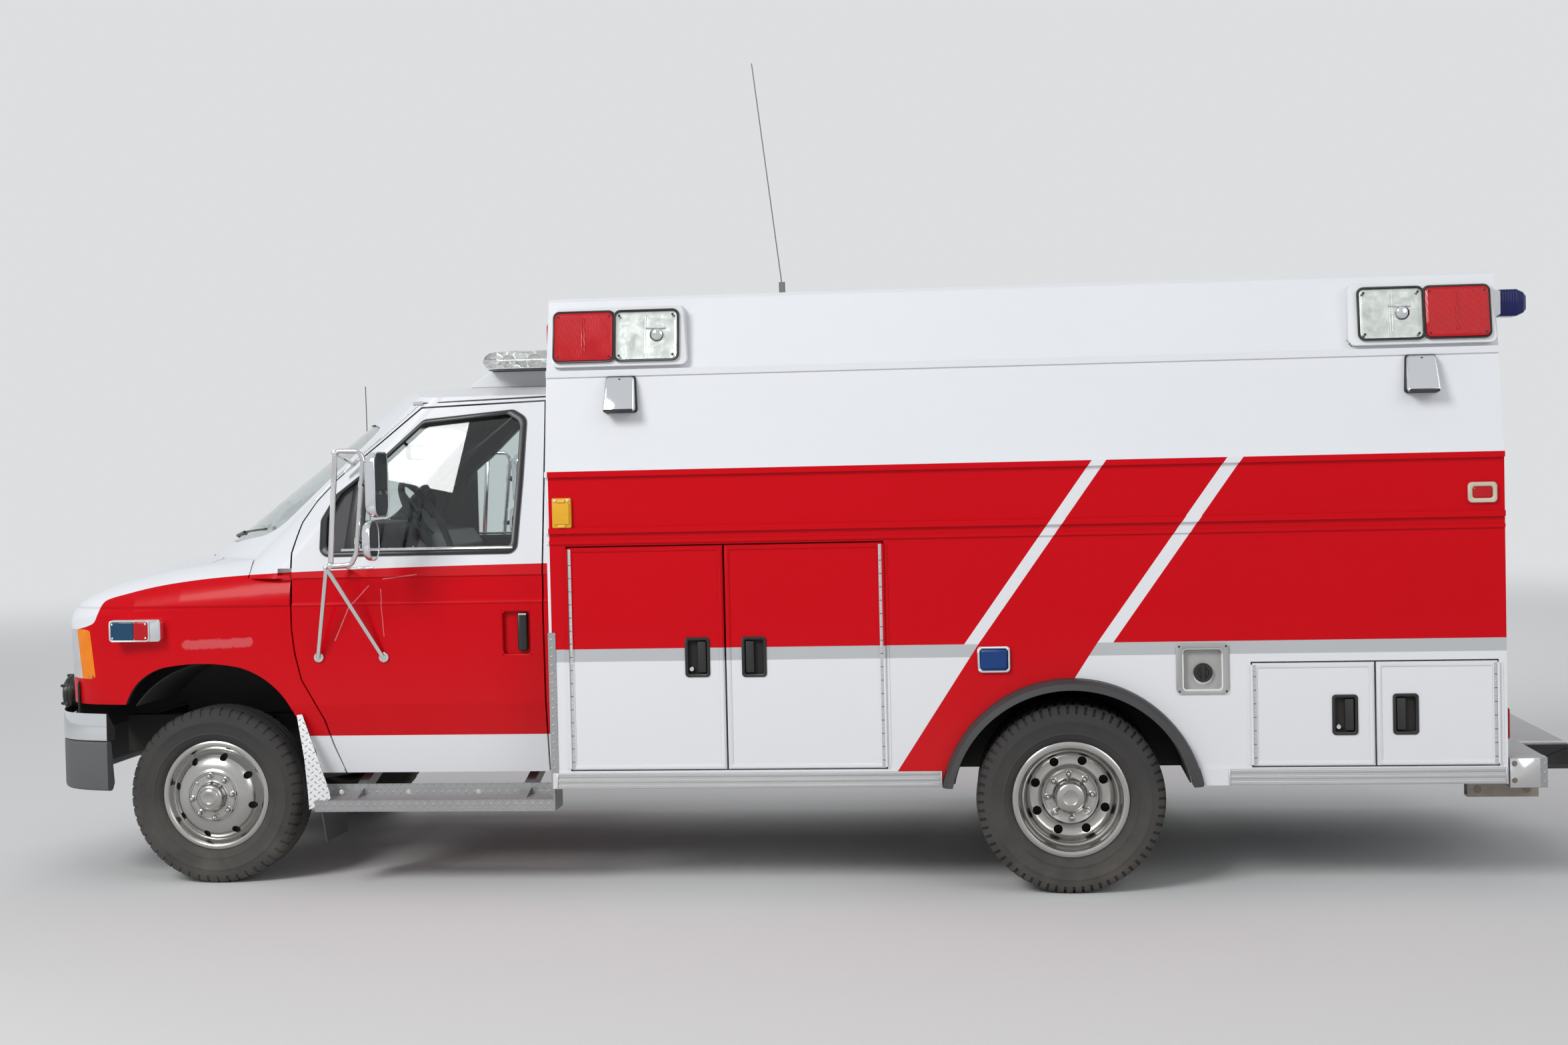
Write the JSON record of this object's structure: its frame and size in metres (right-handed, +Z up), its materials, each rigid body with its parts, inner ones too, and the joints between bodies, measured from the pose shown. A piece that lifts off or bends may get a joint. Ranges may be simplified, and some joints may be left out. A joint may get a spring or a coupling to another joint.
{
  "type": "box ambulance on cutaway van chassis",
  "caption": "White ambulance with a van cab, a tall box body with red and silver bands, twin rear wheels, lockers, side and rear doors, roof lamps and a rear step.",
  "frame": {"origin": "on the ground, in the middle of the vehicle's length and width", "axes": "+X to the rear, +Y to the right-hand side of the vehicle, +Z up; the front bumper is at -X"},
  "size_m": [6.305, 2.66, 3.3703],
  "materials": {
    "body_paint": "gloss white enamel with red and silver bands, lightly dusty",
    "window_glass": "lightly tinted safety glass",
    "chrome": "polished chrome plate, lightly dulled",
    "wheel_chrome": "polished stainless wheel trim",
    "tyre_rubber": "worn black rubber with road dust",
    "flare_rubber": "satin black moulded rubber",
    "grey_moulding": "matte grey moulded plastic",
    "liner_plastic": "rough black moulded plastic with dirt",
    "dash_plastic": "grained grey plastic",
    "seat_vinyl": "grey woven cloth with vinyl edges",
    "frame_paint": "black frame paint with road dirt",
    "engine_iron": "rough cast iron",
    "axle_iron": "dull cast iron with light rust",
    "spring_steel": "black painted steel with rust",
    "exhaust_steel": "heat stained steel",
    "tank_steel": "black painted steel",
    "tread_plate": "bright aluminium tread plate, scuffed",
    "mirror_steel": "polished stainless tube and backs",
    "antenna_steel": "thin steel rod on a dark base",
    "lamp_white": "gloss white moulded housings, chromed flood lamps",
    "lens_plastic": "fluted coloured and clear lenses"
  },
  "bodies": {
    "chassis": {"antennas": "antenna_steel", "cab_shell": "body_paint", "chassis_frame": "frame_paint", "dashboard": "dash_plastic", "engine": "engine_iron", "exhaust": "exhaust_steel", "front_beams": "axle_iron", "front_bumper": "chrome", "front_clip": "body_paint", "front_mouldings": "grey_moulding", "fuel_tank": "tank_steel", "lamp_housings": "lamp_white", "lamp_lenses": "lens_plastic", "module_shell": "body_paint", "module_side_left": "body_paint", "module_side_right": "body_paint", "rear_axle": "axle_iron", "rear_bumper": "tread_plate", "seats": "seat_vinyl", "springs": "spring_steel", "tread_plates": "tread_plate", "wheel_flares": "flare_rubber", "wheel_liners": "liner_plastic", "windscreen": "window_glass"},
    "knuckle_left": {"knuckle_left": "axle_iron"},
    "knuckle_right": {"knuckle_right": "axle_iron"},
    "front_left_wheel": {"wheel_front_left": "wheel_chrome", "tyre_front_left": "tyre_rubber"},
    "front_right_wheel": {"wheel_front_right": "wheel_chrome", "tyre_front_right": "tyre_rubber"},
    "rear_left_wheels": {"wheels_rear_left": "wheel_chrome", "tyres_rear_left": "tyre_rubber"},
    "rear_right_wheels": {"wheels_rear_right": "wheel_chrome", "tyres_rear_right": "tyre_rubber"},
    "cab_door_left": {"cab_door_left": "body_paint", "cab_glass_left": "window_glass", "mirror_left": "mirror_steel"},
    "cab_door_right": {"cab_door_right": "body_paint", "cab_glass_right": "window_glass", "mirror_right": "mirror_steel"},
    "hood": {"hood": "body_paint"},
    "left_locker_door_1": {"left_locker_door_1": "body_paint"},
    "left_locker_door_2": {"left_locker_door_2": "body_paint"},
    "left_locker_door_3": {"left_locker_door_3": "body_paint"},
    "left_locker_door_4": {"left_locker_door_4": "body_paint"},
    "right_locker_door_1": {"right_locker_door_1": "body_paint"},
    "right_locker_door_2": {"right_locker_door_2": "body_paint"},
    "entry_door": {"entry_door": "body_paint", "entry_glass": "window_glass"},
    "rear_door_left": {"rear_door_left": "body_paint", "rear_glass_left": "window_glass"},
    "rear_door_right": {"rear_door_right": "body_paint", "rear_glass_right": "window_glass"}
  },
  "joints": [
    {"name": "steering_left", "type": "hinge", "parent": "chassis", "child": "knuckle_left", "pos_m": [-2.3425, -0.795, 0.364], "axis": [0, 0, 1], "range_deg": [-36, 36]},
    {"name": "steering_right", "type": "hinge", "parent": "chassis", "child": "knuckle_right", "pos_m": [-2.3425, 0.795, 0.364], "axis": [0, 0, 1], "range_deg": [-36, 36]},
    {"name": "front_left_wheel_spin", "type": "hinge", "parent": "knuckle_left", "child": "front_left_wheel", "pos_m": [-2.3425, -0.881, 0.364], "axis": [0, 1, 0], "continuous": true},
    {"name": "front_right_wheel_spin", "type": "hinge", "parent": "knuckle_right", "child": "front_right_wheel", "pos_m": [-2.3425, 0.881, 0.364], "axis": [0, 1, 0], "continuous": true},
    {"name": "rear_left_wheels_spin", "type": "hinge", "parent": "chassis", "child": "rear_left_wheels", "pos_m": [1.1625, -0.984, 0.364], "axis": [0, 1, 0], "continuous": true},
    {"name": "rear_right_wheels_spin", "type": "hinge", "parent": "chassis", "child": "rear_right_wheels", "pos_m": [1.1625, 0.984, 0.364], "axis": [0, 1, 0], "continuous": true},
    {"name": "cab_door_left_hinge", "type": "hinge", "parent": "chassis", "child": "cab_door_left", "pos_m": [-1.9835, -1.009, 1.05], "axis": [0, 0, -1], "range_deg": [0, 70]},
    {"name": "cab_door_right_hinge", "type": "hinge", "parent": "chassis", "child": "cab_door_right", "pos_m": [-1.9835, 1.009, 1.05], "axis": [0, 0, 1], "range_deg": [0, 70]},
    {"name": "hood_hinge", "type": "hinge", "parent": "chassis", "child": "hood", "pos_m": [-2.3825, 0, 1.4], "axis": [0, 1, 0], "range_deg": [0, 50]},
    {"name": "left_locker_door_1_hinge", "type": "hinge", "parent": "chassis", "child": "left_locker_door_1", "pos_m": [-0.7965, -1.182, 0.93], "axis": [0, 0, -1], "range_deg": [0, 105]},
    {"name": "left_locker_door_2_hinge", "type": "hinge", "parent": "chassis", "child": "left_locker_door_2", "pos_m": [0.4545, -1.182, 0.93], "axis": [0, 0, 1], "range_deg": [0, 105]},
    {"name": "left_locker_door_3_hinge", "type": "hinge", "parent": "chassis", "child": "left_locker_door_3", "pos_m": [1.8565, -1.182, 0.684], "axis": [0, 0, -1], "range_deg": [0, 105]},
    {"name": "left_locker_door_4_hinge", "type": "hinge", "parent": "chassis", "child": "left_locker_door_4", "pos_m": [2.7725, -1.182, 0.684], "axis": [0, 0, 1], "range_deg": [0, 105]},
    {"name": "right_locker_door_1_hinge", "type": "hinge", "parent": "chassis", "child": "right_locker_door_1", "pos_m": [-0.7965, 1.182, 0.93], "axis": [0, 0, 1], "range_deg": [0, 105]},
    {"name": "right_locker_door_2_hinge", "type": "hinge", "parent": "chassis", "child": "right_locker_door_2", "pos_m": [2.7725, 1.182, 0.684], "axis": [0, 0, -1], "range_deg": [0, 105]},
    {"name": "entry_door_hinge", "type": "hinge", "parent": "chassis", "child": "entry_door", "pos_m": [-0.3355, 1.182, 1.25], "axis": [0, 0, 1], "range_deg": [0, 95]},
    {"name": "rear_door_left_hinge", "type": "hinge", "parent": "chassis", "child": "rear_door_left", "pos_m": [2.8145, -0.613, 1.45], "axis": [0, 0, -1], "range_deg": [0, 150]},
    {"name": "rear_door_right_hinge", "type": "hinge", "parent": "chassis", "child": "rear_door_right", "pos_m": [2.8145, 0.613, 1.45], "axis": [0, 0, 1], "range_deg": [0, 150]}
  ],
  "couplings": [
    {"joint": "steering_right", "follows": "steering_left", "ratio": 1}
  ]
}
